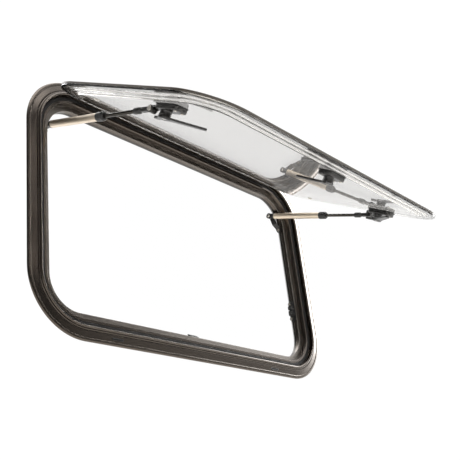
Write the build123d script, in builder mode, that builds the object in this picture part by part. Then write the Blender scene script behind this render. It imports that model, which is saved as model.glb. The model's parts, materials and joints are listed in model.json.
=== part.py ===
from build123d import *
import os
from math import atan2, cos, degrees, hypot, radians, sin

os.makedirs("parts", exist_ok=True)

# Top-hung, outward-opening framed hatch. Millimetres, +Z up, +X to the right seen from
# outside, +Y into the hull. The origin is the centre of the opening on the hull's outer skin.

# ---- driving dimensions ----
frame_w = 700.0          # outer flange, side to side
frame_h = 438.0          # outer flange, bottom to top
frame_r = 100.0          # outer corner radius of the flange
gasket_t = 1.5           # bedding strip between hull skin and flange
hull_t = 5.0             # hull thickness that the clamp frame closes on
cutout_inset = 14.0      # from the flange's outer edge to the hull cut-out
open_angle = 59.35       # pane angle at rest, 0 when closed

bead_inset = 21.5        # hinge bead, from the flange's outer edge
bead_out = 6.5           # hinge bead, in front of the hull skin
bead_r = 2.0
socket_r = 2.15          # hook that turns on the bead
socket_wall = 1.85
hinge_half = 242.0       # half the length of the hinge hook
cap_t = 7.0

pane_gap = 24.5          # pane edge, from the flange's outer edge
pane_top = 7.0           # pane's top edge, below the hinge axis
pane_r = 76.0
outer_t = 3.6            # outer acrylic sheet
bond_t = 0.4
inner_t = 2.5            # formed inner acrylic sheet
face_h = 1.5             # outer face of the pane, outside the hinge axis
dome_h = -10.5           # cabin face of the inner sheet's dome, from the hinge axis

web_inset = 44.8         # inner wall of the reveal
web_depth = 16.5         # how far the outer frame reaches into the hull

stay_x = 289.0           # plane of each telescopic stay
stay_pivot_y = 28.5      # stay pivot on the frame
stay_pivot_z = 146.0
lug_v = -245.0           # stay pivot on the pane, along the pane and off it
lug_h = -19.8
eye_half = 3.0           # half the thickness of both stay eyes
tube_r = 6.3
tube_bore = 5.2
rod_r = 3.0
collar_r = 7.3
tube_start = 16.0        # stations along the stay, from the frame pivot
tube_end = 139.0
collar_start = 133.0
collar_end = 149.5
rod_start = 88.0
rod_end_len = 35.0

latch_x = 280.0          # side latches, from the centre line
latch_v = -267.5         # side latches, along the pane
latch_inset = 40.0       # centre latch's spindle, from the pane's free edge
lever_rest = {"left": 31.0, "center": -94.0, "right": 128.0}
tongue_turn = {"left": -115.0, "center": -136.0, "right": 136.0}
tongue_len = {"left": 22.5, "center": 19.0, "right": 22.5}
pad_t = 0.8
base_t = 7.0
hub_r = 9.6
hub_h = 8.6
lever_t = 3.6
grip_t = 3.2
grip_len = 62.0
grip_lean = 3.5          # degrees that the grip leans back towards the pane
slack = 0.1              # running clearance, on the radius

# ---- worked-out places ----
axis_y = -bead_out
axis_z = frame_h / 2 - bead_inset
tilt = radians(open_angle)
out_dir = Vector(0, -cos(tilt), sin(tilt))       # away from the cabin, off the pane
down_dir = Vector(0, -sin(tilt), -cos(tilt))     # from the hinge to the pane's free edge
pane_plane = Plane(origin=(0, axis_y, axis_z), x_dir=(1, 0, 0), z_dir=out_dir)
hull_plane = Plane.XZ
pane_w = frame_w - 2 * pane_gap
pane_low = -(axis_z + frame_h / 2 - pane_gap)
pane_h = -pane_top - pane_low
pane_mid = (pane_low - pane_top) / 2
dome_inset = 26.0
screw_y = 19.5


def pane_point(x, v, h):
    """A point given along the hinge, along the pane and off the pane."""
    return pane_plane.from_local_coords(Vector(x, v, h))


def save(builder, label):
    builder.part.label = label
    export_step(builder.part, f"parts/{label}.step")


def sweep_sides(plane, width, height, radius, middle, profile):
    """Carry a profile round a rounded rectangle, leaving out its straight top."""
    x = width / 2
    low = middle - height / 2
    high = middle + height / 2
    with BuildLine(plane) as path:
        CenterArc((radius - x, high - radius), radius, 90, 90)
        Line((-x, high - radius), (-x, low + radius))
        CenterArc((radius - x, low + radius), radius, 180, 90)
        Line((radius - x, low), (x - radius, low))
        CenterArc((x - radius, low + radius), radius, -90, 90)
        Line((x, low + radius), (x, high - radius))
        CenterArc((x - radius, high - radius), radius, 0, 90)
    start = plane.from_local_coords(Vector(radius - x, high, 0))
    with BuildSketch(Plane(origin=start, x_dir=plane.y_dir * -1, z_dir=plane.x_dir * -1)) as section:
        Polygon(*profile, align=None)
    sweep(section.sketch, path=path.wires()[0])


def sweep_ring(plane, width, height, radius, middle, profile, bead=None):
    """Carry a profile of (inset, outward) points round a rounded rectangle."""
    x = width / 2
    low = middle - height / 2
    high = middle + height / 2
    start = plane.from_local_coords(Vector(0, low, 0))
    with BuildLine(plane) as path:
        Line((0, low), (x - radius, low))
        CenterArc((x - radius, low + radius), radius, -90, 90)
        Line((x, low + radius), (x, high - radius))
        CenterArc((x - radius, high - radius), radius, 0, 90)
        Line((x - radius, high), (radius - x, high))
        CenterArc((radius - x, high - radius), radius, 90, 90)
        Line((-x, high - radius), (-x, low + radius))
        CenterArc((radius - x, low + radius), radius, 180, 90)
        Line((radius - x, low), (0, low))
    with BuildSketch(Plane(origin=start, x_dir=plane.y_dir, z_dir=plane.x_dir)) as section:
        Polygon(*profile, align=None)
        if bead:
            with Locations((bead[0], bead[1])):
                Circle(bead[2])
    sweep(section.sketch, path=path.wires()[0])


# ---- fixed frame ----
frame_profile = [
    (0, gasket_t), (0, 2.9), (1.2, 4.0), (5.0, 4.6), (5.8, 3.9), (15.6, 5.6), (16.4, 5.3),
    (17.0, 2.1), (20.7, 2.1), (20.7, 5.5), (22.3, 5.5), (22.3, -0.5), (31.0, -0.5),
    (31.0, 0.9), (35.4, 0.9), (36.6, -7.3), (45.4, -7.3), (46.2, -8.0), (46.2, -8.8),
    (web_inset, -9.4), (web_inset, -web_depth), (42.4, -web_depth), (42.4, -10.5),
    (38.5, -10.5), (38.5, -web_depth), (28.0, -web_depth), (28.0, -3.5),
    (cutout_inset + 1.5, -3.5), (cutout_inset + 1.5, gasket_t),
]
clamp_profile = [
    (8.0, -hull_t), (14.4, -hull_t), (14.8, -hull_t - 0.5), (27.8, -hull_t - 0.5),
    (27.8, -web_depth - 0.2),
    (web_inset, -web_depth - 0.2), (web_inset, -21.5), (43.0, -24.0), (37.5, -28.6),
    (35.5, -29.5), (28.0, -29.5), (25.4, -27.0), (25.4, -hull_t - 2), (9.0, -hull_t - 2),
    (8.0, -hull_t - 1.2),
]
clamp_screw_spots = [(x, z) for x in (-225, -75, 75, 225) for z in (-186, 186)]
clamp_screw_spots += [(x, z) for x in (-317, 317) for z in (-100, 0, 100)]
clamp_screw_r = 1.75
clamp_screw_len = 17.0
drain_spots = [-190.0, 190.0]
drain_inset = 10.6

frame_ring = (hull_plane, frame_w, frame_h, frame_r, 0)

with BuildPart() as outer_frame:
    sweep_ring(*frame_ring, frame_profile, (bead_inset, bead_out, bead_r))
    with BuildSketch(Plane.XZ.offset(-web_depth)):
        with Locations(*clamp_screw_spots):
            Circle(clamp_screw_r + 0.05)
    extrude(amount=10, mode=Mode.SUBTRACT)
    for x in drain_spots:
        with BuildSketch(Plane.XZ.offset(2.0)):
            with Locations((x, drain_inset - frame_h / 2)):
                SlotOverall(22, 4.2)
        extrude(amount=6, mode=Mode.SUBTRACT)
save(outer_frame, "outer_frame")

with BuildPart() as drain_inserts:
    for x in drain_spots:
        with BuildSketch(Plane.XZ.offset(2.0)):
            with Locations((x, drain_inset - frame_h / 2)):
                SlotOverall(21.8, 4.0)
        extrude(amount=3.1)
        with BuildSketch(Plane.XZ.offset(3.4)):
            with Locations((x, drain_inset - frame_h / 2)):
                SlotOverall(17, 1.6)
        extrude(amount=4, mode=Mode.SUBTRACT)
save(drain_inserts, "drain_inserts")

with BuildPart() as wall_gasket:
    sweep_ring(*frame_ring, [
        (1.5, 0), (1.5, gasket_t), (cutout_inset, gasket_t), (cutout_inset, 0),
    ])
save(wall_gasket, "wall_gasket")

with BuildPart() as pane_seal:
    sweep_ring(*frame_ring, [
        (24.2, -0.5), (24.2, 0.3), (25.2, 1.1), (29.4, 1.1), (30.8, 0.3), (30.8, -0.5),
    ])
save(pane_seal, "pane_seal")

# strip that fills the channel beside the bead, where no hinge hook turns
with BuildPart() as flange_infill:
    sweep_sides(*frame_ring, [
        (17.1, 2.2), (17.1, 5.5), (17.8, 6.2), (19.4, 6.4), (19.4, 5.6), (20.6, 4.6), (20.6, 2.2),
    ])
save(flange_infill, "flange_infill")

with BuildPart() as clamp_screws:
    with BuildSketch(Plane.XZ.offset(-27.1)):
        with Locations(*clamp_screw_spots):
            Circle(clamp_screw_r)
    extrude(amount=clamp_screw_len)
    with BuildSketch(Plane.XZ.offset(-29.2)):
        with Locations(*clamp_screw_spots):
            Circle(3.6)
    extrude(amount=2.1)
    with BuildSketch(Plane.XZ.offset(-29.2)):
        with Locations(*clamp_screw_spots):
            Rectangle(4.2, 0.9)
            Rectangle(0.9, 4.2)
    extrude(amount=1.2, mode=Mode.SUBTRACT)
save(clamp_screws, "clamp_screws")

with BuildPart() as joint_key:
    with BuildSketch(Plane.XZ.offset(-web_depth)):
        with Locations((0, frame_h / 2 - 40.45)):
            Rectangle(90, 3.6)
    extrude(amount=5.8)
save(joint_key, "joint_key")


# ---- keepers and stay brackets on the reveal ----
keeper_t = 2.0
keeper_len = 44.0
keeper_z = axis_z + latch_v
keeper_screw_gap = 31.0
bracket_t = 2.2
bracket_screw_z = 113.0
bracket_r = 5.6
arm_low = 7.1            # stay bracket's arm, off the reveal wall
arm_high = 9.6
boss_r = 5.0
pivot_r = 2.5
small_screw_r = 1.75
small_screw_len = 9.0
stay_reach = frame_w / 2 - web_inset - stay_x


def reveal_plane(spot):
    """Plane on the reveal wall: local x runs along the rail, local y into the hull."""
    if spot == "bottom":
        return Plane(origin=(0, 0, web_inset - frame_h / 2), x_dir=(1, 0, 0), z_dir=(0, 0, 1))
    side = -1 if spot == "left" else 1
    return Plane(
        origin=(side * (frame_w / 2 - web_inset), 0, 0), x_dir=(0, 0, side), z_dir=(-side, 0, 0)
    )


def along(spot, z):
    """Station along a rail, in its reveal plane."""
    return {"left": -z, "right": z, "bottom": 0.0}[spot]


def keeper_screw_spots(spot):
    mid = along(spot, keeper_z)
    return [(mid + shift, screw_y) for shift in (-keeper_screw_gap / 2, keeper_screw_gap / 2)]


def pan_screws(plane, spots, seat, length, shank_r=small_screw_r, head_r=3.3, head_h=1.9):
    """Pan-head screws with a cross recess, standing on a face `seat` above a plane."""
    with BuildSketch(plane.offset(seat - length)) as shanks:
        with Locations(*spots):
            Circle(shank_r)
    extrude(shanks.sketch, amount=length)
    with BuildSketch(plane.offset(seat)) as heads:
        with Locations(*spots):
            Circle(head_r)
    extrude(heads.sketch, amount=head_h)
    with BuildSketch(plane.offset(seat + head_h - 0.9)) as recesses:
        with Locations(*spots):
            Rectangle(3.6, 0.8)
            Rectangle(0.8, 3.6)
    extrude(recesses.sketch, amount=0.9, mode=Mode.SUBTRACT)


def make_keeper(spot):
    plane = reveal_plane(spot)
    mid = along(spot, keeper_z)
    with BuildPart() as body:
        with BuildSketch(plane):
            with Locations((mid, 16.2)):
                RectangleRounded(keeper_len, 13.0, 6.4)
        extrude(amount=keeper_t)
        across = Plane(origin=plane.origin + plane.x_dir * mid, x_dir=plane.y_dir, z_dir=plane.x_dir)
        with BuildSketch(across) as ramp:
            Polygon((10.6, 0), (20.1, 0), (20.1, 9.3), (18.9, 8.7), (13.4, 4.6), (11.0, keeper_t + 0.2),
                    align=None)
        extrude(ramp.sketch, amount=10, both=True)
        with BuildSketch(plane):
            with Locations(*keeper_screw_spots(spot)):
                Circle(small_screw_r + 0.05)
        extrude(amount=keeper_t, mode=Mode.SUBTRACT)
    save(body, f"keeper_{spot}")


def make_stay_bracket(spot):
    """Flat pad under the screw, a cranked arm past the corner and a boss for the stay."""
    plane = reveal_plane(spot)
    screw = (along(spot, bracket_screw_z), screw_y)
    pivot = (along(spot, stay_pivot_z), stay_pivot_y)
    side_plane = Plane(origin=plane.origin, x_dir=plane.x_dir, z_dir=plane.y_dir * -1)
    crank = [
        (bracket_screw_z - bracket_r, 0), (bracket_screw_z + bracket_r, 0), (127, arm_low),
        (stay_pivot_z + bracket_r, arm_low), (stay_pivot_z + bracket_r, arm_high),
        (126, arm_high), (bracket_screw_z + bracket_r - 1, bracket_t),
        (bracket_screw_z - bracket_r, bracket_t),
    ]
    with BuildPart() as body:
        with BuildSketch(plane) as outline:
            with Locations(screw):
                Circle(bracket_r)
            with Locations(pivot):
                Circle(boss_r)
            make_hull()
        extrude(outline.sketch, amount=arm_high)
        with BuildSketch(side_plane) as section:
            Polygon(*[(along(spot, z), rise) for z, rise in crank], align=None)
        extrude(section.sketch, amount=60, both=True, mode=Mode.INTERSECT)
        with BuildSketch(plane.offset(arm_high)) as boss:
            with Locations(pivot):
                Circle(boss_r)
        extrude(boss.sketch, amount=stay_reach - eye_half - slack - arm_high)
        with BuildSketch(plane) as holes:
            with Locations(pivot):
                Circle(pivot_r + 0.05)
            with Locations(screw):
                Circle(small_screw_r + 0.05)
        extrude(holes.sketch, amount=20, mode=Mode.SUBTRACT)
    save(body, f"stay_bracket_{spot}")


with BuildPart() as clamp_frame:
    sweep_ring(*frame_ring, clamp_profile)
    with BuildSketch(Plane.XZ.offset(-29.5)):
        with Locations(*clamp_screw_spots):
            Circle(clamp_screw_r + 0.05)
    extrude(amount=14, mode=Mode.SUBTRACT)
    with BuildSketch(Plane.XZ.offset(-29.5)):
        with Locations(*clamp_screw_spots):
            Circle(4.0)
    extrude(amount=2.4, mode=Mode.SUBTRACT)
    for spot in ("left", "right", "bottom"):
        with BuildSketch(reveal_plane(spot)):
            with Locations(*keeper_screw_spots(spot)):
                Circle(small_screw_r + 0.05)
        extrude(amount=-small_screw_len + keeper_t, mode=Mode.SUBTRACT)
    for spot in ("left", "right"):
        with BuildSketch(reveal_plane(spot)):
            with Locations((along(spot, bracket_screw_z), screw_y)):
                Circle(small_screw_r + 0.05)
        extrude(amount=-small_screw_len + bracket_t, mode=Mode.SUBTRACT)
save(clamp_frame, "clamp_frame")

for spot in ("left", "right", "bottom"):
    make_keeper(spot)
with BuildPart() as keeper_screws:
    for spot in ("left", "right", "bottom"):
        pan_screws(reveal_plane(spot), keeper_screw_spots(spot), keeper_t, small_screw_len - 0.2)
save(keeper_screws, "keeper_screws")

for spot in ("left", "right"):
    make_stay_bracket(spot)
with BuildPart() as bracket_screws:
    for spot in ("left", "right"):
        spots = [(along(spot, bracket_screw_z), screw_y)]
        pan_screws(reveal_plane(spot), spots, bracket_t, small_screw_len - 0.2)
save(bracket_screws, "bracket_screws")

with BuildPart() as bracket_rivets:
    for spot in ("left", "right"):
        plane = reveal_plane(spot)
        tip = stay_reach + eye_half + slack
        with BuildSketch(plane.offset(arm_low - 1.2)):
            with Locations((along(spot, stay_pivot_z), stay_pivot_y)):
                Circle(3.6)
        extrude(amount=1.2)
        with BuildSketch(plane.offset(arm_low - 1.2)):
            with Locations((along(spot, stay_pivot_z), stay_pivot_y)):
                Circle(pivot_r)
        extrude(amount=tip - arm_low + 1.2)
        with BuildSketch(plane.offset(tip)):
            with Locations((along(spot, stay_pivot_z), stay_pivot_y)):
                Circle(4.0)
        extrude(amount=1.8, taper=25)
save(bracket_rivets, "bracket_rivets")


# ---- pane ----
with BuildPart() as outer_pane:
    with BuildSketch(pane_plane.offset(face_h - outer_t)):
        with Locations((0, pane_mid)):
            RectangleRounded(pane_w, pane_h, pane_r)
    extrude(amount=outer_t)
    outer_face = outer_pane.faces().sort_by(Axis(pane_plane.origin, out_dir))[-1]
    chamfer(outer_face.edges(), 0.6)
save(outer_pane, "outer_pane")

flange_h = face_h - outer_t - bond_t
sheet_profile = [
    (0, flange_h - inner_t), (12, flange_h - inner_t), (15, -7.5), (22.5, -7.5),
    (dome_inset, dome_h), (dome_inset + 4, dome_h), (dome_inset + 4, dome_h + inner_t),
    (dome_inset + 1, dome_h + inner_t), (23.5, -5.0), (16, -5.0), (13, flange_h), (0, flange_h),
]
pane_ring = (pane_plane, pane_w, pane_h, pane_r, pane_mid)

with BuildPart() as pane_bond:
    sweep_ring(*pane_ring, [
        (0.8, flange_h), (0.8, flange_h + bond_t), (7.0, flange_h + bond_t), (7.0, flange_h),
    ])
save(pane_bond, "pane_bond")

plug_spots = [(-280, -97), (280, -97)]
plug_r = 3.0
latch_spots = {
    "left": (-latch_x, latch_v),
    "center": (0, pane_low + latch_inset),
    "right": (latch_x, latch_v),
}

with BuildPart() as inner_pane:
    sweep_ring(*pane_ring, sheet_profile)
    with BuildSketch(pane_plane.offset(dome_h)):
        with Locations((0, pane_mid)):
            edge = 2 * (dome_inset + 4)
            RectangleRounded(pane_w - edge, pane_h - edge, pane_r - edge / 2)
    extrude(amount=inner_t)
    with BuildSketch(pane_plane.offset(dome_h)):
        with Locations(*plug_spots):
            Circle(plug_r)
    extrude(amount=inner_t, mode=Mode.SUBTRACT)
save(inner_pane, "inner_pane")

with BuildPart() as vent_plugs:
    with BuildSketch(pane_plane.offset(dome_h)):
        with Locations(*plug_spots):
            Circle(plug_r - 0.05)
    extrude(amount=inner_t)
    with BuildSketch(pane_plane.offset(dome_h)):
        with Locations(*plug_spots):
            Circle(4.6)
    extrude(amount=-1.2, taper=20)
save(vent_plugs, "vent_plugs")


# ---- hinge hook along the pane's top edge ----
def hook_section(outer_r, web_low, flange_len, flange_skin):
    """Hook round the bead, then a web and a flange bonded outside the pane.

    Local x runs from the hinge axis down the pane, local y into the cabin.
    """
    mouth = [(0, 0)] + [(9 * cos(radians(a)), 9 * sin(radians(a))) for a in (65, 120, 175)]
    Circle(outer_r)
    Circle(socket_r, mode=Mode.SUBTRACT)
    Polygon(*mouth, align=None, mode=Mode.SUBTRACT)
    web_high = -face_h - flange_skin
    Polygon(
        (3.0, web_high), (pane_top + flange_len, web_high), (pane_top + flange_len, -face_h),
        (pane_top - 0.2, -face_h), (pane_top - 0.2, web_low), (3.0, web_low), align=None,
    )
    Circle(socket_r, mode=Mode.SUBTRACT)


def hook_plane(x):
    return Plane(origin=(x, axis_y, axis_z), x_dir=down_dir, z_dir=(1, 0, 0))


with BuildPart() as hinge_profile:
    with BuildSketch(hook_plane(-hinge_half)):
        hook_section(socket_r + socket_wall, 2.4, 14.0, 1.4)
    extrude(amount=2 * hinge_half)
save(hinge_profile, "hinge_profile")

with BuildPart() as hinge_caps:
    for x in (-hinge_half - cap_t - 0.1, hinge_half + 0.1):
        with BuildSketch(hook_plane(x)):
            hook_section(4.15, 3.6, 18.0, 1.9)
        extrude(amount=cap_t)
save(hinge_caps, "hinge_caps")


# ---- rotary latches ----
base_low = dome_h - pad_t
base_high = base_low - base_t
lever_gap = 0.2
spindle_len = 5.6
head_seat = 2.2          # pivot screw's counterbore, into the lever


def latch_plane(spot, h):
    """Latch's own plane, facing the cabin: local x points out over the pane's edge."""
    x, v = latch_spots[spot]
    outward = {"left": Vector(-1, 0, 0), "center": down_dir, "right": Vector(1, 0, 0)}[spot]
    return Plane(origin=pane_point(x, v, h), x_dir=outward, z_dir=-out_dir)


def base_shift(spot):
    """Side on which a latch base is longer, along the pane's edge."""
    return {"left": -6.5, "center": -6.5, "right": 6.5}[spot]


def make_latch_base(spot):
    plane = latch_plane(spot, base_low)
    shift = base_shift(spot)
    far = shift + (18 if shift > 0 else -18)
    with BuildPart() as body:
        with BuildSketch(plane):
            with Locations((-1.5, shift)):
                RectangleRounded(25, 48, 7)
        extrude(amount=base_t)
        top = body.faces().sort_by(Axis(plane.origin, plane.z_dir))[-1]
        fillet(top.edges(), 2.2)
        with BuildSketch(plane.offset(1.2)):
            Circle(4.0 + slack)
        extrude(amount=base_t, mode=Mode.SUBTRACT)
        with BuildSketch(plane):
            Circle(2.05)
            with Locations((-8, far), (5, far)):
                Circle(small_screw_r + 0.05)
        extrude(amount=base_t, mode=Mode.SUBTRACT)
        if spot != "center":
            side = -1 if spot == "left" else 1
            ear = Plane(
                origin=pane_point(side * (stay_x - eye_half - 0.4), 0, 0),
                x_dir=-down_dir * side, z_dir=(-side, 0, 0),
            )
            with BuildSketch(ear):
                with BuildLine():
                    Polyline(
                        ((lug_v - 12) * side, -base_low), ((lug_v + 5.5) * side, 2 - base_low),
                        ((lug_v + 5.5) * side, -lug_h), ((lug_v - 5.5) * side, 1 - lug_h),
                        ((lug_v - 12) * side, -base_high - 2), close=True,
                    )
                make_face()
                with Locations((lug_v * side, -lug_h)):
                    Circle(5.5)
            extrude(amount=4.2)
            with BuildSketch(ear):
                with Locations((lug_v * side, -lug_h)):
                    Circle(pivot_r + 0.05)
            extrude(amount=4.2, mode=Mode.SUBTRACT)
    save(body, f"latch_base_{spot}")


def make_lever(spot):
    """Hub, long grip and short tongue; the spindle turns in the latch base."""
    x, v = latch_spots[spot]
    angle = radians(lever_rest[spot])
    grip_dir = Vector(1, 0, 0) * cos(angle) + down_dir * sin(angle)
    origin = pane_point(x, v, base_high - lever_gap)
    plane = Plane(origin=origin, x_dir=grip_dir, z_dir=-out_dir)
    side_plane = Plane(origin=origin, x_dir=grip_dir, z_dir=plane.y_dir * -1)
    lean = radians(grip_lean)
    grip_plane = Plane(
        origin=origin - out_dir * hub_h, x_dir=grip_dir * cos(lean) + out_dir * sin(lean),
        z_dir=grip_dir * sin(lean) - out_dir * cos(lean),
    )
    turn_tongue = radians(tongue_turn[spot])
    reach = tongue_len[spot]
    tip_r = 4.4
    with BuildPart() as body:
        with BuildSketch(side_plane):
            with BuildLine():
                Polyline((0, -spindle_len), (4.0, -spindle_len), (4.0, 0), (hub_r - 0.8, 0))
                Spline((hub_r - 0.8, 0), (hub_r - 1.2, 3.5), (hub_r - 0.6, 6.5), (hub_r, hub_h))
                Polyline((hub_r, hub_h), (hub_r, hub_h + lever_t - 1),
                         (hub_r - 1, hub_h + lever_t), (0, hub_h + lever_t), (0, -spindle_len))
            make_face()
        revolve(axis=Axis(origin, plane.z_dir))
        with BuildSketch(grip_plane):
            with BuildLine():
                Polyline((3, 8.2), (20, 5.4), (grip_len - 3.9, 3.9), (grip_len - 3.9, -3.9),
                         (20, -5.4), (3, -8.2), close=True)
            make_face()
            with Locations((grip_len - 3.9, 0)):
                Circle(3.9)
        extrude(amount=grip_t)
        with BuildSketch(plane.offset(hub_h)):
            middle = (reach - tip_r) / 2
            with Locations(Location(
                (middle * cos(turn_tongue), middle * sin(turn_tongue)), degrees(turn_tongue)
            )):
                Rectangle(2 * middle, 2 * tip_r)
            with Locations((2 * middle * cos(turn_tongue), 2 * middle * sin(turn_tongue))):
                Circle(tip_r)
        extrude(amount=lever_t - 0.5)
        with BuildSketch(plane.offset(-spindle_len)):
            Circle(2.1)
        extrude(amount=spindle_len + hub_h + lever_t, mode=Mode.SUBTRACT)
        with BuildSketch(plane.offset(hub_h + lever_t - head_seat)):
            Circle(4.2)
        extrude(amount=3, mode=Mode.SUBTRACT)
    save(body, f"latch_lever_{spot}")


for spot in latch_spots:
    make_latch_base(spot)
    make_lever(spot)

with BuildPart() as latch_pads:
    for spot in latch_spots:
        with BuildSketch(latch_plane(spot, dome_h)):
            with Locations((-1.5, base_shift(spot))):
                RectangleRounded(27, 50, 8)
            Circle(2.05, mode=Mode.SUBTRACT)
        extrude(amount=pad_t)
save(latch_pads, "latch_pads")

with BuildPart() as latch_screws:
    for spot in latch_spots:
        shift = base_shift(spot)
        far = shift + (18 if shift > 0 else -18)
        pan_screws(latch_plane(spot, base_low), [(-8, far), (5, far)], base_t, base_t - 0.4,
                   shank_r=1.6, head_r=2.4, head_h=1.3)
save(latch_screws, "latch_screws")

with BuildPart() as latch_pivot_screws:
    for spot in latch_spots:
        plane = latch_plane(spot, base_low)
        top = base_t + lever_gap + hub_h + lever_t
        with BuildSketch(plane):
            Circle(2.0)
        extrude(amount=top - head_seat)
        with BuildSketch(plane.offset(top - head_seat)):
            Circle(3.9)
        extrude(amount=1.9, taper=15)
save(latch_pivot_screws, "latch_pivot_screws")


# ---- telescopic stays ----
def make_stay(name, side):
    foot = Vector(side * stay_x, stay_pivot_y, stay_pivot_z)
    head = pane_point(side * stay_x, lug_v, lug_h)
    length = (head - foot).length
    axis = (head - foot).normalized()
    line = Axis(foot, axis)
    x_dir = Vector(1, 0, 0)
    side_plane = Plane(origin=foot, x_dir=axis, z_dir=x_dir)
    rod_tip = length - rod_end_len + 4

    def station(s):
        return Plane(origin=foot + axis * s, x_dir=x_dir, z_dir=axis)

    def turned(points):
        """Revolve (station, radius) points about the stay."""
        with BuildSketch(side_plane) as section:
            Polygon(*points, align=None)
        revolve(section.sketch, axis=line)

    with BuildPart() as eye:
        with BuildSketch(side_plane.offset(-eye_half)):
            Circle(5.8)
            with Locations((7, 0)):
                Rectangle(14, 9.6)
        extrude(amount=2 * eye_half)
        turned([(12, 0), (12, 5.0), (13, tube_r), (tube_start, tube_r),
                (tube_start, tube_bore - 0.05), (28, tube_bore - 0.05), (28, 0)])
        with BuildSketch(side_plane.offset(-eye_half)):
            Circle(pivot_r + slack)
        extrude(amount=2 * eye_half, mode=Mode.SUBTRACT)
    save(eye, f"stay_eye_{name}")

    with BuildPart() as tube:
        turned([(tube_start, tube_bore), (tube_start, tube_r), (tube_end, tube_r),
                (tube_end, tube_bore)])
    save(tube, f"stay_tube_{name}")

    with BuildPart() as collar:
        turned([
            (collar_start, tube_r + slack), (collar_start, collar_r - 0.5),
            (collar_start + 0.6, collar_r), (collar_end - 3, collar_r), (collar_end, 5.6),
            (collar_end, rod_r + slack), (tube_end + 0.3, rod_r + slack),
            (tube_end + 0.3, tube_r + slack),
        ])
        with BuildSketch(station(collar_start)):
            with PolarLocations(collar_r + 0.1, 12):
                Circle(0.7)
        extrude(amount=collar_end - collar_start - 4, mode=Mode.SUBTRACT)
    save(collar, f"stay_collar_{name}")

    with BuildPart() as rod:
        with BuildSketch(station(rod_start)):
            Circle(rod_r)
        extrude(amount=rod_tip - rod_start)
    save(rod, f"stay_rod_{name}")

    with BuildPart() as piston:
        turned([(rod_start, rod_r + 0.05), (rod_start, 4.6), (rod_start + 0.6, tube_bore - slack),
                (rod_start + 9.4, tube_bore - slack), (rod_start + 10, 4.6),
                (rod_start + 10, rod_r + 0.05)])
    save(piston, f"stay_piston_{name}")

    with BuildPart() as rod_end:
        turned([(length - rod_end_len, 0), (length - rod_end_len, 4.2),
                (length - rod_end_len + 1, 5.0), (length - 23, 5.0), (length - 20, 3.4),
                (length - 10, 3.0), (length - 10, 0)])
        with BuildSketch(side_plane.offset(-eye_half)):
            with Locations((length, 0)):
                Circle(5.4)
            with Locations((length - 9, 0)):
                Rectangle(18, 6.4)
        extrude(amount=2 * eye_half)
        with BuildSketch(station(length - rod_end_len)):
            Circle(rod_r + 0.05)
        extrude(amount=4.05, mode=Mode.SUBTRACT)
        with BuildSketch(side_plane.offset(-eye_half)):
            with Locations((length, 0)):
                Circle(pivot_r + 0.05)
        extrude(amount=2 * eye_half, mode=Mode.SUBTRACT)
    save(rod_end, f"stay_rod_end_{name}")

    with BuildPart() as pin:
        with BuildSketch(side_plane.offset(-side * eye_half)):
            with Locations((length, 0)):
                Circle(pivot_r)
        extrude(amount=side * 2 * eye_half)
        with BuildSketch(side_plane.offset(side * eye_half)):
            with Locations((length, 0)):
                Circle(3.9)
        extrude(amount=side * 1.6)
    save(pin, f"stay_pin_{name}")


for name, side in (("left", -1), ("right", 1)):
    make_stay(name, side)

with BuildPart() as lug_pins:
    for side in (-1, 1):
        ear_face = pane_point(side * (stay_x - eye_half - 0.4), lug_v, lug_h)
        plane = Plane(origin=ear_face, x_dir=down_dir, z_dir=(-side, 0, 0))
        with BuildSketch(plane):
            Circle(pivot_r)
        extrude(amount=4.2)
        with BuildSketch(plane.offset(4.2)):
            Circle(3.8)
        extrude(amount=1.5)
save(lug_pins, "lug_pins")
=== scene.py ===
import json
import math

import bmesh
import bpy
import numpy as np
from mathutils import Matrix, Vector


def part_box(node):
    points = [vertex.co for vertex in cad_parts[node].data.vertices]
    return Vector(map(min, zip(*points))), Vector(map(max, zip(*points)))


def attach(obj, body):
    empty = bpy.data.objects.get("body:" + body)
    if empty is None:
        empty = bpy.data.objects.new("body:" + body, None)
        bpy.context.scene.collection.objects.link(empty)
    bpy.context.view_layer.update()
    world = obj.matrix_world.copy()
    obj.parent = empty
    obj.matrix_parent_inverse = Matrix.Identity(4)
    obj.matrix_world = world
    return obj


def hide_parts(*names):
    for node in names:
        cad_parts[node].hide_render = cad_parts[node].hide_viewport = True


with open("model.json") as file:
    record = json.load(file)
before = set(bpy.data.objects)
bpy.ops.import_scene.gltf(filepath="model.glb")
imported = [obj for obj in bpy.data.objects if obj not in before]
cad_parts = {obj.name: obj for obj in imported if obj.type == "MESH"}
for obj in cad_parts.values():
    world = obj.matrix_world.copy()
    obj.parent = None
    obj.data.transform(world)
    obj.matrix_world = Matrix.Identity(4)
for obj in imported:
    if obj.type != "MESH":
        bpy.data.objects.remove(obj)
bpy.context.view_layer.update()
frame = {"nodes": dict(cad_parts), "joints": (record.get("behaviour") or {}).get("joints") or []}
print("frame loaded:", len(frame["nodes"]), "nodes")

# Top-hung side hatch. Lengths in the dictionaries are millimetres, angles degrees.
mm = 0.001
hinge = next(joint for joint in frame["joints"] if joint["name"] == "pane_hinge")
openAngle = math.radians(hinge["range_deg"][1])
frameLow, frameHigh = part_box("outer_frame")
paneLow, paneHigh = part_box("outer_pane")

# A place turns (across, up, off) in mm into the row frame: off is away from the cabin.
hullPlace = {
    "origin": np.zeros(3), "across": np.array([1.0, 0, 0]), "up": np.array([0, 0, 1.0]),
    "off": np.array([0, -1.0, 0]),
}
panePlace = {
    "origin": np.array(hinge["pos_m"]) / mm,
    "across": np.array([1.0, 0, 0]),
    "up": np.array([0, math.sin(openAngle), math.cos(openAngle)]),
    "off": np.array([0, -math.cos(openAngle), math.sin(openAngle)]),
}


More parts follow.
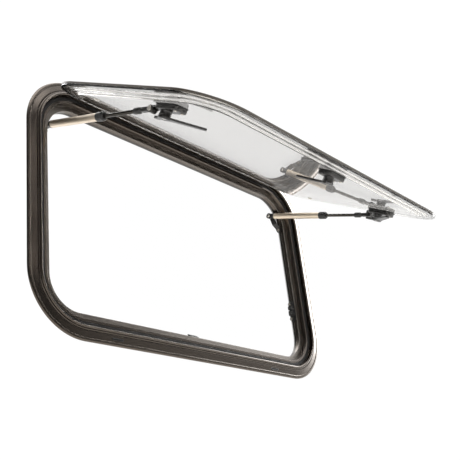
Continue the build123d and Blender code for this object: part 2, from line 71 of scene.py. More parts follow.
# shapes from arrays
def put(place, across, up, off):
    across, up, off = np.broadcast_arrays(across, up, off)
    return (place["origin"] + across[..., None] * place["across"]
            + up[..., None] * place["up"] + off[..., None] * place["off"]) * mm


def softCorners(points, radius, steps=4, closed=True):
    # each corner becomes a quadratic curve that starts and ends `radius` from it, or 0.45 of the edge
    points = np.array(points, float)
    before, after = np.roll(points, 1, axis=0), np.roll(points, -1, axis=0)
    toBefore, toAfter = before - points, after - points
    lengthBefore = np.linalg.norm(toBefore, axis=1, keepdims=True)
    lengthAfter = np.linalg.norm(toAfter, axis=1, keepdims=True)
    radius = np.broadcast_to(np.atleast_1d(radius).astype(float), (len(points),))[:, None]
    start = points + toBefore / lengthBefore * np.minimum(radius, 0.45 * lengthBefore)
    end = points + toAfter / lengthAfter * np.minimum(radius, 0.45 * lengthAfter)
    t = np.linspace(0, 1, steps + 1)[None, :, None]
    curve = (1 - t) ** 2 * start[:, None] + 2 * t * (1 - t) * points[:, None] + t ** 2 * end[:, None]
    if closed:
        return curve.reshape(-1, 2)
    return np.vstack([points[:1], curve[1:-1].reshape(-1, 2), points[-1:]])


def roundedLoop(size, insets, arcSteps=28):
    # corner centre plus (radius - inset) times the outward direction, corner after corner
    x, low = size["width"] / 2, size["middle"] - size["height"] / 2
    high, r = size["middle"] + size["height"] / 2, size["radius"]
    centres = np.array([(x - r, low + r), (x - r, high - r), (r - x, high - r), (r - x, low + r)])
    turn = np.radians(np.linspace(0, 90, arcSteps + 1)[None] + np.array([-90, 0, 90, 180])[:, None])
    outward = np.stack([np.cos(turn), np.sin(turn)], -1).reshape(-1, 2)
    centres = np.repeat(centres, arcSteps + 1, axis=0)
    return centres[None] + (r - np.asarray(insets)[:, None, None]) * outward[None]


def meshPiece(name, grid, wrapRows=False, caps=(False, False)):
    # grid holds rows of points, and every row closes on itself; caps close the first and last row
    rows, cols = grid.shape[:2]
    index = np.arange(rows * cols).reshape(rows, cols)
    below = index if wrapRows else index[:-1]
    above = np.roll(index, -1, axis=0) if wrapRows else index[1:]
    quads = np.stack([below, np.roll(below, -1, 1), np.roll(above, -1, 1), above], -1).reshape(-1, 4)
    faces = quads.tolist()
    if caps[0]:
        faces.append(index[0, ::-1].tolist())
    if caps[1]:
        faces.append(index[-1].tolist())
    mesh = bpy.data.meshes.new(name)
    mesh.from_pydata(grid.reshape(-1, 3), [], faces)

    # UV in metres: along the rows' length, and across from row to row
    alongStep = np.linalg.norm(np.roll(grid, -1, 1) - grid, axis=-1).mean(0)
    acrossStep = np.linalg.norm(np.roll(grid, -1, 0) - grid, axis=-1).mean(1)
    along = np.concatenate([[0], np.cumsum(alongStep)])
    across = np.concatenate([[0], np.cumsum(acrossStep)])
    row, col = np.divmod(below.reshape(-1), cols)
    uv = np.stack([
        np.stack([along[col], across[row]], -1), np.stack([along[col + 1], across[row]], -1),
        np.stack([along[col + 1], across[row + 1]], -1), np.stack([along[col], across[row + 1]], -1),
    ], 1).reshape(-1, 2)
    uv = np.vstack([uv, np.zeros((len(mesh.loops) - len(uv), 2))])
    mesh.uv_layers.new(name="Length").data.foreach_set("uv", uv.ravel())

    # faces are turned outwards
    work = bmesh.new()
    work.from_mesh(mesh)
    bmesh.ops.recalc_face_normals(work, faces=work.faces)
    work.to_mesh(mesh)
    work.free()
    mesh.polygons.foreach_set("use_smooth", np.full(len(mesh.polygons), True))
    piece = bpy.data.objects.new(name, mesh)
    bpy.context.collection.objects.link(piece)
    return piece


def ringPiece(name, place, size, profile, radius=0.5, steps=4):
    # a closed profile of (inset, off) carried round a rounded rectangle
    section = softCorners(profile, radius, steps)
    loops = roundedLoop(size, section[:, 0])
    grid = put(place, loops[..., 0], loops[..., 1], section[:, 1][:, None])
    return meshPiece(name, grid, wrapRows=True)


def platePiece(name, place, size, profile, radius=0.5, steps=4):
    # an open profile of (inset, off) round a rounded rectangle, closed by two flat caps
    section = softCorners(profile, radius, steps, closed=False)
    loops = roundedLoop(size, section[:, 0])
    grid = put(place, loops[..., 0], loops[..., 1], section[:, 1][:, None])
    return meshPiece(name, grid, caps=(True, True))


def turnedPiece(name, foot, axis, profile, radius=0.3, steps=48, hollow=False, shape=None):
    # (station, radius) points turned about an axis; shape changes the radius with station and angle
    section = softCorners(profile, radius, 3, closed=hollow)
    angle = np.linspace(0, 2 * math.pi, steps, endpoint=False)
    axis = np.array(axis) / np.linalg.norm(axis)
    side = np.array([1.0, 0, 0])
    other = np.cross(axis, side)
    r = np.repeat(section[:, 1][:, None], steps, 1)
    if shape:
        r = shape(section[:, 0][:, None], r, angle[None])
    grid = (np.array(foot) + section[:, 0][:, None, None] * axis
            + r[..., None] * (np.cos(angle)[:, None] * side + np.sin(angle)[:, None] * other)) * mm
    return meshPiece(name, grid, wrapRows=hollow, caps=(not hollow, not hollow))


def evenNormals(piece):
    # flat faces stay flat beside small rounded edges
    modifier = piece.modifiers.new("Even normals", "WEIGHTED_NORMAL")
    modifier.keep_sharp = True
    return piece


def softEdges(piece, width, angle=38, segments=2):
    # a moulded or broken edge on a CAD piece, whose own mesh stays as it is
    weld = piece.modifiers.new("Join points", "WELD")
    weld.merge_threshold = 0.00001
    bevel = piece.modifiers.new("Soft edges", "BEVEL")
    bevel.width = width * mm
    bevel.segments = segments
    bevel.limit_method = "ANGLE"
    bevel.angle_limit = math.radians(angle)
    bevel.use_clamp_overlap = True
    bevel.harden_normals = True


def cutAway(piece, cutters):
    # takes the cutters' space out of a piece and removes them
    for cutter in cutters:
        modifier = piece.modifiers.new("Cut", "BOOLEAN")
        modifier.operation = "DIFFERENCE"
        modifier.solver = "EXACT"
        modifier.object = cutter
    bpy.context.view_layer.update()
    evaluated = piece.evaluated_get(bpy.context.evaluated_depsgraph_get())
    mesh = bpy.data.meshes.new_from_object(evaluated)
    piece.modifiers.clear()
    piece.data = mesh
    for cutter in cutters:
        bpy.data.objects.remove(cutter)


def finishPiece(piece, material, body, slot, *nodes):
    if material:
        piece.data.materials.clear()
        piece.data.materials.append(material)
    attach(piece, body)
    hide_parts(*nodes)
    return piece


# materials
def toLinear(code, alpha=1.0):
    value = np.array([int(code[i:i + 2], 16) / 255 for i in (1, 3, 5)])
    linear = np.where(value <= 0.04045, value / 12.92, ((value + 0.055) / 1.055) ** 2.4)
    return (*linear, alpha)


def addNode(tree, kind, settings=None, links=None):
    # settings name a node's own values or its inputs; links join inputs to other nodes' outputs
    node = tree.nodes.new(kind)
    for key, value in (settings or {}).items():
        if isinstance(key, str) and hasattr(node, key):
            setattr(node, key, value)
        else:
            node.inputs[key].default_value = value
    for key, source in (links or {}).items():
        tree.links.new(source, node.inputs[key])
    return node


def newMaterial(name, **surface):
    material = bpy.data.materials.new(name)
    material.use_nodes = True
    shader = material.node_tree.nodes["Principled BSDF"]
    for key, value in surface.items():
        shader.inputs[key.replace("_", " ")].default_value = value
    return material, material.node_tree, shader


def anodisedExtrusion(name, dark, light, roughness, lineGap, grain=0.25):
    # anodised aluminium: a dyed oxide skin over metal, satin, with die lines along the bar
    material, tree, shader = newMaterial(name, Metallic=0.9, Coat_Weight=0.35, Coat_Roughness=0.22)
    coords = addNode(tree, "ShaderNodeTexCoord").outputs
    along = addNode(tree, "ShaderNodeMapping", {"Scale": (0.004, 1, 1)}, {"Vector": coords["UV"]}).outputs[0]
    lines = addNode(tree, "ShaderNodeTexNoise",
                    {"Scale": 1 / (lineGap * mm), "Detail": 2.0, "Roughness": 0.5},
                    {"Vector": along}).outputs[0]
    clouds = addNode(tree, "ShaderNodeTexNoise",
                     {"Scale": 1 / (40 * mm), "Detail": 4.0, "Roughness": 0.5},
                     {"Vector": coords["Object"]}).outputs[0]
    specks = addNode(tree, "ShaderNodeTexNoise",
                     {"Scale": 1 / (grain * mm), "Detail": 2.0, "Roughness": 0.5},
                     {"Vector": coords["Object"]}).outputs[0]
    # the colour wanders between two near shades
    tint = addNode(tree, "ShaderNodeMix",
                   {"data_type": "RGBA", 6: toLinear(dark), 7: toLinear(light)}, {0: clouds})
    tree.links.new(tint.outputs[2], shader.inputs["Base Color"])
    worn = addNode(tree, "ShaderNodeMix", {"data_type": "FLOAT", 0: 0.5}, {2: lines, 3: clouds})
    sheen = addNode(tree, "ShaderNodeMapRange", {"To Min": roughness[0], "To Max": roughness[1]},
                    {"Value": worn.outputs[0]})
    tree.links.new(sheen.outputs[0], shader.inputs["Roughness"])
    relief = addNode(tree, "ShaderNodeBump", {"Distance": 0.0005 * mm, "Strength": 1.0}, {"Height": specks})
    tree.links.new(relief.outputs[0], shader.inputs["Normal"])
    return material


def mouldedNylon(name, dark, light, roughness, grain=0.45, depth=0.02):
    # moulded glass-filled nylon: near black, a fine spark-eroded grain, gloss that varies a little
    material, tree, shader = newMaterial(name, IOR=1.52)
    coords = addNode(tree, "ShaderNodeTexCoord").outputs["Object"]
    clouds = addNode(tree, "ShaderNodeTexNoise",
                     {"Scale": 1 / (9 * mm), "Detail": 3.0, "Roughness": 0.5},
                     {"Vector": coords}).outputs[0]
    texture = addNode(tree, "ShaderNodeTexNoise",
                      {"Scale": 1 / (grain * mm), "Detail": 2.0, "Roughness": 0.5},
                      {"Vector": coords}).outputs[0]
    tint = addNode(tree, "ShaderNodeMix",
                   {"data_type": "RGBA", 6: toLinear(dark), 7: toLinear(light)}, {0: clouds})
    tree.links.new(tint.outputs[2], shader.inputs["Base Color"])
    sheen = addNode(tree, "ShaderNodeMapRange", {"To Min": roughness[0], "To Max": roughness[1]},
                    {"Value": clouds})
    tree.links.new(sheen.outputs[0], shader.inputs["Roughness"])
    relief = addNode(tree, "ShaderNodeBump", {"Distance": depth * mm, "Strength": 1.0}, {"Height": texture})
    tree.links.new(relief.outputs[0], shader.inputs["Normal"])
    return material


def sealRubber(name):
    # EPDM rubber: matt black with a powdery bloom and fine extrusion lines
    material, tree, shader = newMaterial(name, IOR=1.5)
    coords = addNode(tree, "ShaderNodeTexCoord").outputs
    bloom = addNode(tree, "ShaderNodeTexNoise",
                    {"Scale": 1 / (14 * mm), "Detail": 5.0, "Roughness": 0.6},
                    {"Vector": coords["Object"]}).outputs[0]
    along = addNode(tree, "ShaderNodeMapping", {"Scale": (0.01, 1, 1)}, {"Vector": coords["UV"]}).outputs[0]
    lines = addNode(tree, "ShaderNodeTexNoise",
                    {"Scale": 1 / (0.5 * mm), "Detail": 2.0, "Roughness": 0.5},
                    {"Vector": along}).outputs[0]
    tint = addNode(tree, "ShaderNodeMix",
                   {"data_type": "RGBA", 6: toLinear("#0d0d0d"), 7: toLinear("#1b1a19")}, {0: bloom})
    tree.links.new(tint.outputs[2], shader.inputs["Base Color"])
    sheen = addNode(tree, "ShaderNodeMapRange", {"To Min": 0.55, "To Max": 0.8}, {"Value": bloom})
    tree.links.new(sheen.outputs[0], shader.inputs["Roughness"])
    relief = addNode(tree, "ShaderNodeBump", {"Distance": 0.03 * mm, "Strength": 1.0}, {"Height": lines})
    tree.links.new(relief.outputs[0], shader.inputs["Normal"])
    return material


def castAcrylic(name, tint, density, roughness=0.012):
    # acrylic sheet, light grey: clear through its thickness, darker through its edge
    material, tree, shader = newMaterial(
        name, Base_Color=toLinear("#ffffff"), Transmission_Weight=1.0, IOR=1.49)
    coords = addNode(tree, "ShaderNodeTexCoord").outputs["Object"]
    handling = addNode(tree, "ShaderNodeTexNoise",
                       {"Scale": 1 / (60 * mm), "Detail": 3.0, "Roughness": 0.5},
                       {"Vector": coords}).outputs[0]
    sheen = addNode(tree, "ShaderNodeMapRange", {"To Min": roughness * 0.4, "To Max": roughness * 1.6},
                    {"Value": handling})
    tree.links.new(sheen.outputs[0], shader.inputs["Roughness"])
    ripple = addNode(tree, "ShaderNodeTexNoise",
                     {"Scale": 1 / (90 * mm), "Detail": 1.0, "Roughness": 0.5},
                     {"Vector": coords}).outputs[0]
    relief = addNode(tree, "ShaderNodeBump", {"Distance": 0.05 * mm, "Strength": 1.0}, {"Height": ripple})
    tree.links.new(relief.outputs[0], shader.inputs["Normal"])
    absorb = addNode(tree, "ShaderNodeVolumeAbsorption", {"Color": toLinear(tint), "Density": density})
    output = tree.nodes["Material Output"]
    tree.links.new(absorb.outputs[0], output.inputs["Volume"])
    return material


def sealingBond(name):
    # dark elastic bond between the two sheets, glossy where the acrylic wets it
    material, tree, shader = newMaterial(name, IOR=1.45)
    coords = addNode(tree, "ShaderNodeTexCoord").outputs["Object"]
    clouds = addNode(tree, "ShaderNodeTexNoise",
                     {"Scale": 1 / (6 * mm), "Detail": 3.0, "Roughness": 0.5},
                     {"Vector": coords}).outputs[0]
    tint = addNode(tree, "ShaderNodeMix",
                   {"data_type": "RGBA", 6: toLinear("#26231f"), 7: toLinear("#3a352f")}, {0: clouds})
    tree.links.new(tint.outputs[2], shader.inputs["Base Color"])
    sheen = addNode(tree, "ShaderNodeMapRange", {"To Min": 0.3, "To Max": 0.5}, {"Value": clouds})
    tree.links.new(sheen.outputs[0], shader.inputs["Roughness"])
    return material


def turnedMetal(name, dark, light, roughness, lineGap, depth=0.006):
    # drawn or turned metal, bright or dark, with fine tool marks
    material, tree, shader = newMaterial(name, Metallic=1.0)
    coords = addNode(tree, "ShaderNodeTexCoord").outputs["Object"]
    lines = addNode(tree, "ShaderNodeTexNoise",
                    {"Scale": 1 / (lineGap * mm), "Detail": 2.0, "Roughness": 0.5},
                    {"Vector": coords}).outputs[0]
    clouds = addNode(tree, "ShaderNodeTexNoise",
                     {"Scale": 1 / (12 * mm), "Detail": 3.0, "Roughness": 0.5},
                     {"Vector": coords}).outputs[0]
    tint = addNode(tree, "ShaderNodeMix",
                   {"data_type": "RGBA", 6: toLinear(dark), 7: toLinear(light)}, {0: clouds})
    tree.links.new(tint.outputs[2], shader.inputs["Base Color"])
    sheen = addNode(tree, "ShaderNodeMapRange", {"To Min": roughness[0], "To Max": roughness[1]},
                    {"Value": lines})
    tree.links.new(sheen.outputs[0], shader.inputs["Roughness"])
    relief = addNode(tree, "ShaderNodeBump", {"Distance": depth * mm, "Strength": 1.0}, {"Height": lines})
    tree.links.new(relief.outputs[0], shader.inputs["Normal"])
    return material


bronzeAnodised = anodisedExtrusion("dark bronze anodised aluminium", "#4d453e", "#554d45", (0.16, 0.24), 1.4)
blackAnodised = anodisedExtrusion("black anodised aluminium", "#34312e", "#3d3936", (0.24, 0.34), 1.4)
# painted light: a lighter grey copy of the frame's anodised finish for the lip, whose face catches the light;
# the lip is the same bronze extrusion
litLipPaint = anodisedExtrusion("frame lip painted lighter grey as lit", "#655f59", "#6e6862", (0.34, 0.44), 1.4)
champagneAnodised = anodisedExtrusion(
    "champagne anodised tube", "#cabba7", "#d6c9b7", (0.36, 0.46), 1.0)
blackNylon = mouldedNylon("black moulded nylon", "#0e0e0e", "#1a1918", (0.3, 0.46))
satinNylon = mouldedNylon("satin black moulded nylon", "#131312", "#211f1e", (0.24, 0.36), 0.6, 0.012)
greyNylon = mouldedNylon("clear grey moulded plug", "#b9b5ad", "#cdc9c1", (0.3, 0.45))
rubber = sealRubber("black seal rubber")
outerAcrylic = castAcrylic("light grey cast acrylic", "#b3aea6", 66)
innerAcrylic = castAcrylic("clear formed acrylic", "#bdb8b0", 80)
# painted shade: an opaque dark colour for the light grey sheet's edge faces, standing for how dark the sheet
# looks through its edge
shadedEdgePaint = mouldedNylon("acrylic edge painted dark as shade", "#433d37", "#4d4740", (0.3, 0.42), 1.2, 0.01)
bondDark = sealingBond("dark sealing bond")
darkSteel = turnedMetal("dark passivated steel rod", "#3b3936", "#4a4743", (0.18, 0.32), 0.3)
stainless = turnedMetal("bright stainless steel", "#cfcac2", "#e2ddd5", (0.16, 0.3), 0.25)
millAluminium = turnedMetal("plain aluminium", "#b9b7b3", "#c6c4c0", (0.3, 0.42), 0.4)
print("materials made")

# fixed frame
frameSize = {
    "width": (frameHigh[0] - frameLow[0]) / mm, "height": (frameHigh[2] - frameLow[2]) / mm,
    "radius": 100.0, "middle": 0.0,
}
outerFrame = {
    "flange": [(0, 1.5), (0, 2.9), (1.2, 4.0), (5.0, 4.6), (5.8, 3.9), (15.6, 5.6), (16.4, 5.3),
               (17.0, 2.1), (20.7, 2.1)],
    "beadInset": 21.5, "beadOff": 6.5, "beadRadius": 2.0, "neckAngle": 66.4, "beadSteps": 14,
    "inside": [(22.3, -0.5), (31.0, -0.5), (31.0, 0.9), (35.4, 0.9), (36.6, -7.3), (45.4, -7.3),
               (46.2, -8.0), (46.2, -8.8), (44.8, -9.4), (44.8, -16.5), (42.4, -16.5), (42.4, -10.5),
               (38.5, -10.5), (38.5, -16.5), (28.0, -16.5), (28.0, -3.5), (15.5, -3.5), (15.5, 1.5)],
    "edgeRadius": 0.45, "grooveRadius": 1.2, "beadSoftness": 0.12, "cornerSteps": 3,
    "grooveFirst": 2, "grooveLast": 5, "lipFirst": 4, "lipLast": 7,
    "drainAt": (-190.0, 190.0), "drainInset": 10.6, "drainLength": 22.0, "drainWidth": 4.2,
    "drainFloor": 2.0, "drainTop": 9.0,
}
beadAngle = np.radians(np.linspace(
    180 + outerFrame["neckAngle"], -outerFrame["neckAngle"], outerFrame["beadSteps"]))
bead = np.stack([
    outerFrame["beadInset"] + outerFrame["beadRadius"] * np.cos(beadAngle),
    outerFrame["beadOff"] + outerFrame["beadRadius"] * np.sin(beadAngle),
], -1)
section = np.vstack([outerFrame["flange"], bead, outerFrame["inside"]])
softness = np.full(len(section), outerFrame["edgeRadius"])
softness[outerFrame["grooveFirst"]:outerFrame["grooveLast"] + 1] = outerFrame["grooveRadius"]
firstBead = len(outerFrame["flange"])
softness[firstBead:firstBead + len(bead)] = outerFrame["beadSoftness"]
frameRing = ringPiece("outerFrameRing", hullPlace, frameSize, section, softness, outerFrame["cornerSteps"])


def paintRows(piece, material, rowStart, rowEnd, cols):
    # a second material on the faces between two rows of the grid; both uses below paint light or shade into the
    # colour
    piece.data.materials.append(material)
    index = np.zeros(len(piece.data.polygons), dtype=np.int32)
    index[rowStart * cols:rowEnd * cols] = len(piece.data.materials) - 1
    piece.data.polygons.foreach_set("material_index", index)


frameRing.data.materials.append(bronzeAnodised)
# every corner of the section has cornerSteps + 1 rows, and the lip runs from the foot of the slope
rowsPerCorner = outerFrame["cornerSteps"] + 1
firstInside = firstBead + len(bead)
lipStart = rowsPerCorner * (firstInside + outerFrame["lipFirst"]) + outerFrame["cornerSteps"]
lipEnd = rowsPerCorner * (firstInside + outerFrame["lipLast"] + 1)
# the lip's rows get the lighter grey copy, painted light on the bronze extrusion
paintRows(frameRing, litLipPaint, lipStart, lipEnd, roundedLoop(frameSize, [0.0]).shape[1])


def slotCutter(name, across, up, length, width, low, high):
    # a rounded slot standing through the flange
    size = {"width": length, "height": width, "radius": width / 2 - 0.01, "middle": 0.0}
    loop = roundedLoop(size, [0.0], 10)[0]
    off = np.array([low, high])[:, None]
    return meshPiece(name, put(hullPlace, across + loop[None, :, 0], up + loop[None, :, 1], off),
                     caps=(True, True))


drainUp = outerFrame["drainInset"] - frameSize["height"] / 2
cutAway(frameRing, [
    slotCutter("drainCut", at, drainUp, outerFrame["drainLength"], outerFrame["drainWidth"],
               outerFrame["drainFloor"], outerFrame["drainTop"])
    for at in outerFrame["drainAt"]
])
evenNormals(frameRing)
finishPiece(frameRing, None, "frame", "bronze_anodised", "outer_frame")

# the strip beside the bead runs round the sides and bottom, and stops where the hinge begins
infill = {
    "profile": [(17.1, 2.2), (17.1, 5.5), (17.8, 6.2), (19.4, 6.4), (19.4, 5.6), (20.6, 4.6), (20.6, 2.2)],
    "edgeRadius": 0.4, "startColumn": 58,
}
infillSection = softCorners(infill["profile"], infill["edgeRadius"])
infillLoops = np.roll(roundedLoop(frameSize, infillSection[:, 0]), -infill["startColumn"], axis=1)
infillGrid = put(hullPlace, infillLoops[..., 0], infillLoops[..., 1], infillSection[:, 1][:, None])
infillStrip = meshPiece("flangeInfill", infillGrid.transpose(1, 0, 2), caps=(True, True))
finishPiece(infillStrip, bronzeAnodised, "frame", "bronze_anodised", "flange_infill")

clampFrame = {
    "profile": [(8.0, -5.0), (14.4, -5.0), (14.8, -5.5), (27.8, -5.5), (27.8, -16.7), (44.8, -16.7),
                (44.8, -21.5), (43.0, -24.0), (37.5, -28.6), (35.5, -29.5), (28.0, -29.5), (25.4, -27.0),
                (25.4, -7.0), (9.0, -7.0), (8.0, -6.2)],
    "edgeRadius": 0.7,
    "screws": [(x, z) for x in (-225, -75, 75, 225) for z in (-186, 186)]
    + [(x, z) for x in (-317, 317) for z in (-100, 0, 100)],
    "seatWidth": 8.0, "seatFloor": -27.1, "seatStart": -33.0,
}
clampRing = ringPiece("clampFrameRing", hullPlace, frameSize, clampFrame["profile"], clampFrame["edgeRadius"])
cutAway(clampRing, [
    slotCutter("seatCut", x, z, clampFrame["seatWidth"], clampFrame["seatWidth"],
               clampFrame["seatStart"], clampFrame["seatFloor"])
    for x, z in clampFrame["screws"]
])
evenNormals(clampRing)
finishPiece(clampRing, blackAnodised, "frame", "black_anodised", "clamp_frame")

seal = {
    "profile": [(24.2, -0.5), (24.2, 0.2), (25.0, 1.0), (26.6, 1.1), (27.5, 0.55), (28.4, 1.1), (30.0, 1.0),
                (30.8, 0.2), (30.8, -0.5)],
    "edgeRadius": 0.6,
}
sealRing = evenNormals(ringPiece("paneSealRing", hullPlace, frameSize, seal["profile"], seal["edgeRadius"]))
finishPiece(sealRing, rubber, "frame", "rubber", "pane_seal")

gasket = {"profile": [(1.5, 0), (1.5, 1.5), (14.0, 1.5), (14.0, 0)], "edgeRadius": 0.4}
gasketRing = evenNormals(ringPiece("wallGasketRing", hullPlace, frameSize, gasket["profile"],
                                   gasket["edgeRadius"]))
finishPiece(gasketRing, rubber, "frame", "rubber", "wall_gasket")
print("fixed frame made")

# pane
paneSize = {"width": (paneHigh[0] - paneLow[0]) / mm, "top": -7.0, "bottom": -392.0, "radius": 76.0}
paneSize["height"] = paneSize["top"] - paneSize["bottom"]
paneSize["middle"] = (paneSize["top"] + paneSize["bottom"]) / 2
outerSheet = {
    "profile": [(40, 1.5), (0.6, 1.5), (0, 0.9), (0, -1.5), (0.6, -2.1), (40, -2.1)], "edgeRadius": 0.5,
    "edgeRows": (2, 18),
}
innerSheet = {
    "profile": [(34, -8.0), (27, -8.0), (23.5, -5.0), (16, -5.0), (13, -2.5), (0, -2.5), (0, -5.0), (12, -5.0),
                (15, -7.5), (22.5, -7.5), (26, -10.5), (34, -10.5)],
    "edgeRadius": [0, 2.0, 1.6, 2.0, 1.6, 0.3, 0.5, 2.0, 1.6, 2.0, 1.6, 0],
}
bond = {"profile": [(0.8, -2.47), (0.8, -2.13), (7.0, -2.13), (7.0, -2.47)], "edgeRadius": 0.1}

outerPlate = evenNormals(platePiece("outerPaneSheet", panePlace, paneSize, outerSheet["profile"],
                                    outerSheet["edgeRadius"]))
outerPlate.data.materials.append(outerAcrylic)
# the edge faces lie between the two flat faces' rows; they are painted dark, a painted shade for how dark the
# sheet looks through its edge
paintRows(outerPlate, shadedEdgePaint, outerSheet["edgeRows"][0], outerSheet["edgeRows"][1],
          roundedLoop(paneSize, [0.0]).shape[1])
finishPiece(outerPlate, None, "pane", "acrylic", "outer_pane")
innerPlate = evenNormals(platePiece("innerPaneSheet", panePlace, paneSize, innerSheet["profile"],
                                    innerSheet["edgeRadius"], 5))
finishPiece(innerPlate, innerAcrylic, "pane", "acrylic", "inner_pane")
bondRing = ringPiece("paneBondRing", panePlace, paneSize, bond["profile"], bond["edgeRadius"], 1)
finishPiece(bondRing, bondDark, "pane", "bond", "pane_bond")
print("pane made")

# telescopic stays
stay = {
    "tube": [(16.0, 5.2), (16.0, 6.3), (139.0, 6.3), (139.0, 5.2)],
    "collar": [(133.0, 6.4), (133.0, 6.9), (133.8, 7.3), (146.5, 7.3), (149.5, 5.6), (149.5, 3.1),
               (139.3, 3.1), (139.3, 6.4)],
    "ribs": 14, "ribDepth": 0.45, "ribStart": 134.2, "ribEnd": 145.6, "ribRows": 8, "ribFade": 1.5,
    "collarRadius": 7.3, "ribsAbove": 6.5,
}


def ribbed(station, radius, angle):
    # shallow flutes round the collar that fade out at both ends
    fadeIn = np.clip((station - stay["ribStart"]) / stay["ribFade"], 0, 1)
    fadeOut = np.clip((stay["ribEnd"] - station) / stay["ribFade"], 0, 1)
    flute = np.maximum(0, np.cos(stay["ribs"] * angle)) ** 2
    return radius - stay["ribDepth"] * fadeIn * fadeOut * flute * (radius > stay["ribsAbove"])


for side in ("left", "right"):
    pivot = next(joint for joint in frame["joints"] if joint["name"] == f"stay_{side}_pivot")
    slide = next(joint for joint in frame["joints"] if joint["name"] == f"rod_{side}_slide")
    foot = np.array(pivot["pos_m"]) / mm
    axis = np.array(slide["axis"])
    tube = evenNormals(turnedPiece(f"stayTube_{side}", foot, axis, stay["tube"], 0.3, 64, hollow=True))
    finishPiece(tube, champagneAnodised, f"stay_{side}", "champagne_anodised", f"stay_tube_{side}")
    collar = evenNormals(turnedPiece(f"stayCollar_{side}", foot, axis, [
        *stay["collar"][:3],
        *[(station, stay["collarRadius"])
          for station in np.linspace(stay["ribStart"], stay["ribEnd"], stay["ribRows"])],
        *stay["collar"][3:],
    ], 0.35, 168, hollow=True, shape=ribbed))
    finishPiece(collar, blackNylon, f"collar_{side}", "black_plastic", f"stay_collar_{side}")
print("stays made")

# CAD pieces that keep their shape
finishes = {
    "bronze": (bronzeAnodised, ["hinge_profile"], 0.25),
    "nylon": (blackNylon, [
        "keeper_left", "keeper_right", "keeper_bottom", "stay_bracket_left", "stay_bracket_right",
        "stay_eye_left", "stay_eye_right", "stay_rod_end_left", "stay_rod_end_right",
        "stay_piston_left", "stay_piston_right", "lug_pins", "hinge_caps"], 0.4),
    "latches": (satinNylon, [
        "latch_base_left", "latch_base_center", "latch_base_right",
        "latch_lever_left", "latch_lever_center", "latch_lever_right"], 0.6),
    "drains": (blackNylon, ["drain_inserts"], 0.2),
    "pads": (rubber, ["latch_pads"], 0.2),
    "plugs": (greyNylon, ["vent_plugs"], 0.3),
    "rods": (darkSteel, ["stay_rod_left", "stay_rod_right"], 0.3),
    "bright": (stainless, [
        "clamp_screws", "keeper_screws", "bracket_screws", "bracket_rivets", "latch_screws",
        "latch_pivot_screws", "stay_pin_left", "stay_pin_right"], 0.25),
    "key": (millAluminium, ["joint_key"], 0.2),
}
for material, names, edge in finishes.values():
    for name in names:
        piece = frame["nodes"][name]
        piece.data.materials.clear()
        piece.data.materials.append(material)
        softEdges(piece, edge)
print("CAD pieces finished")

# floor, light and camera
studio = {
    "floorDrop": 760.0, "floorSize": 60000.0, "floorColour": "#e9e7e3",
    "brightWay": (51.44, 24.04), "top": 5.0,
    "levels": [(0.0, 0.09), (0.12, 0.34), (0.25, 0.6), (0.4, 1.4), (0.52, 3.4), (0.62, 5.0), (0.76, 4.6),
               (0.88, 1.1), (1.0, 1.0)],
}
floorMesh = bpy.data.meshes.new("floor")
half = studio["floorSize"] / 2 * mm
floorMesh.from_pydata([(-half, -half, -studio["floorDrop"] * mm), (half, -half, -studio["floorDrop"] * mm),
                       (half, half, -studio["floorDrop"] * mm), (-half, half, -studio["floorDrop"] * mm)],
                      [], [(0, 1, 2, 3)])
floor = bpy.data.objects.new("floor", floorMesh)
bpy.context.collection.objects.link(floor)
floorPaint, floorTree, floorShader = newMaterial("pale floor paint", Roughness=0.6)
floorPlace = addNode(floorTree, "ShaderNodeTexCoord").outputs["Object"]
floorGrain = addNode(floorTree, "ShaderNodeTexNoise",
                     {"Scale": 1 / (300 * mm), "Detail": 2.0, "Roughness": 0.5},
                     {"Vector": floorPlace}).outputs[0]
floorTint = addNode(floorTree, "ShaderNodeMix",
                    {"data_type": "RGBA", 6: toLinear("#e4e2de"), 7: toLinear(studio["floorColour"])},
                    {0: floorGrain})
floorTree.links.new(floorTint.outputs[2], floorShader.inputs["Base Color"])
floorMesh.materials.append(floorPaint)


def direction(yaw, pitch):
    yaw, pitch = math.radians(yaw), math.radians(pitch)
    return Vector((math.sin(yaw) * math.cos(pitch), math.cos(yaw) * math.cos(pitch), math.sin(pitch)))


# a white cyclorama that falls to dark on the camera's side, as a studio does; seen directly it is white
world = bpy.data.worlds.new("studio")
bpy.context.scene.world = world
world.use_nodes = True
sky = world.node_tree
sky.nodes.clear()
way = addNode(sky, "ShaderNodeTexCoord").outputs["Generated"]
facing = addNode(sky, "ShaderNodeVectorMath",
                 {"operation": "DOT_PRODUCT", 1: direction(*studio["brightWay"])}, {0: way}).outputs["Value"]
ramp = addNode(sky, "ShaderNodeValToRGB", {}, {0: facing})
ramp.color_ramp.interpolation = "EASE"
while len(ramp.color_ramp.elements) < len(studio["levels"]):
    ramp.color_ramp.elements.new(0.5)
for stop, (position, amount) in zip(ramp.color_ramp.elements, studio["levels"]):
    stop.position = position
    stop.color = (*[amount / studio["top"]] * 3, 1)
glow = addNode(sky, "ShaderNodeMath", {"operation": "MULTIPLY", 1: studio["top"]},
               {0: ramp.outputs[0]}).outputs[0]
path = addNode(sky, "ShaderNodeLightPath")
direct = addNode(sky, "ShaderNodeMath", {"operation": "MAXIMUM"},
                 {0: path.outputs["Is Camera Ray"], 1: path.outputs["Is Transmission Ray"]}).outputs[0]
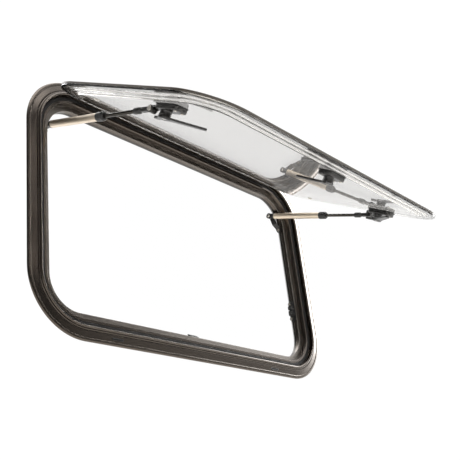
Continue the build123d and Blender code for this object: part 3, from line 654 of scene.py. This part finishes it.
strength = addNode(sky, "ShaderNodeMath", {"operation": "MAXIMUM"}, {0: direct, 1: glow}).outputs[0]
backdrop = addNode(sky, "ShaderNodeBackground", {"Color": (1.0, 1.0, 1.0, 1.0)}, {"Strength": strength})
addNode(sky, "ShaderNodeOutputWorld", {}, {"Surface": backdrop.outputs[0]})

lamps = [
    {"name": "overhead softbox", "at": (-0.3, -1.2, 2.1), "aim": (0, -0.1, 0), "size": (1.8, 1.2), "power": 26},
    {"name": "low fill", "at": (-1.8, -0.6, -0.45), "aim": (0, 0, 0), "size": (0.9, 0.7), "power": 1.5},
    {"name": "side strip", "at": (2.3, -0.55, 0.85), "aim": (0.3, 0, 0), "size": (0.5, 1.2), "power": 16},
]
for lamp in lamps:
    data = bpy.data.lights.new(lamp["name"], "AREA")
    data.shape = "RECTANGLE"
    data.size, data.size_y = lamp["size"]
    data.energy = lamp["power"]
    light = bpy.data.objects.new(lamp["name"], data)
    bpy.context.collection.objects.link(light)
    aim = Vector(lamp["aim"]) - Vector(lamp["at"])
    light.matrix_world = Matrix.Translation(lamp["at"]) @ aim.to_track_quat("-Z", "Y").to_matrix().to_4x4()

view = {"at": (-955.7, -852.4, -554.5), "yaw": 51.44, "pitch": 24.04, "roll": -6.85, "lens": 61.25}
forward = direction(view["yaw"], view["pitch"])
level = Vector((math.cos(math.radians(view["yaw"])), -math.sin(math.radians(view["yaw"])), 0))
upright = level.cross(forward)
roll = math.radians(view["roll"])
right = level * math.cos(roll) + upright * math.sin(roll)
top = -level * math.sin(roll) + upright * math.cos(roll)
cameraData = bpy.data.cameras.new("camera")
cameraData.sensor_width = 36
cameraData.lens = view["lens"]
cameraData.clip_start = 0.01
camera = bpy.data.objects.new("camera", cameraData)
bpy.context.collection.objects.link(camera)
turn = Matrix((right, top, -forward)).transposed().to_4x4()
camera.matrix_world = Matrix.Translation(Vector(view["at"]) * mm) @ turn
bpy.context.scene.camera = camera
bpy.context.scene.view_settings.view_transform = "Standard"
print("studio and camera made")
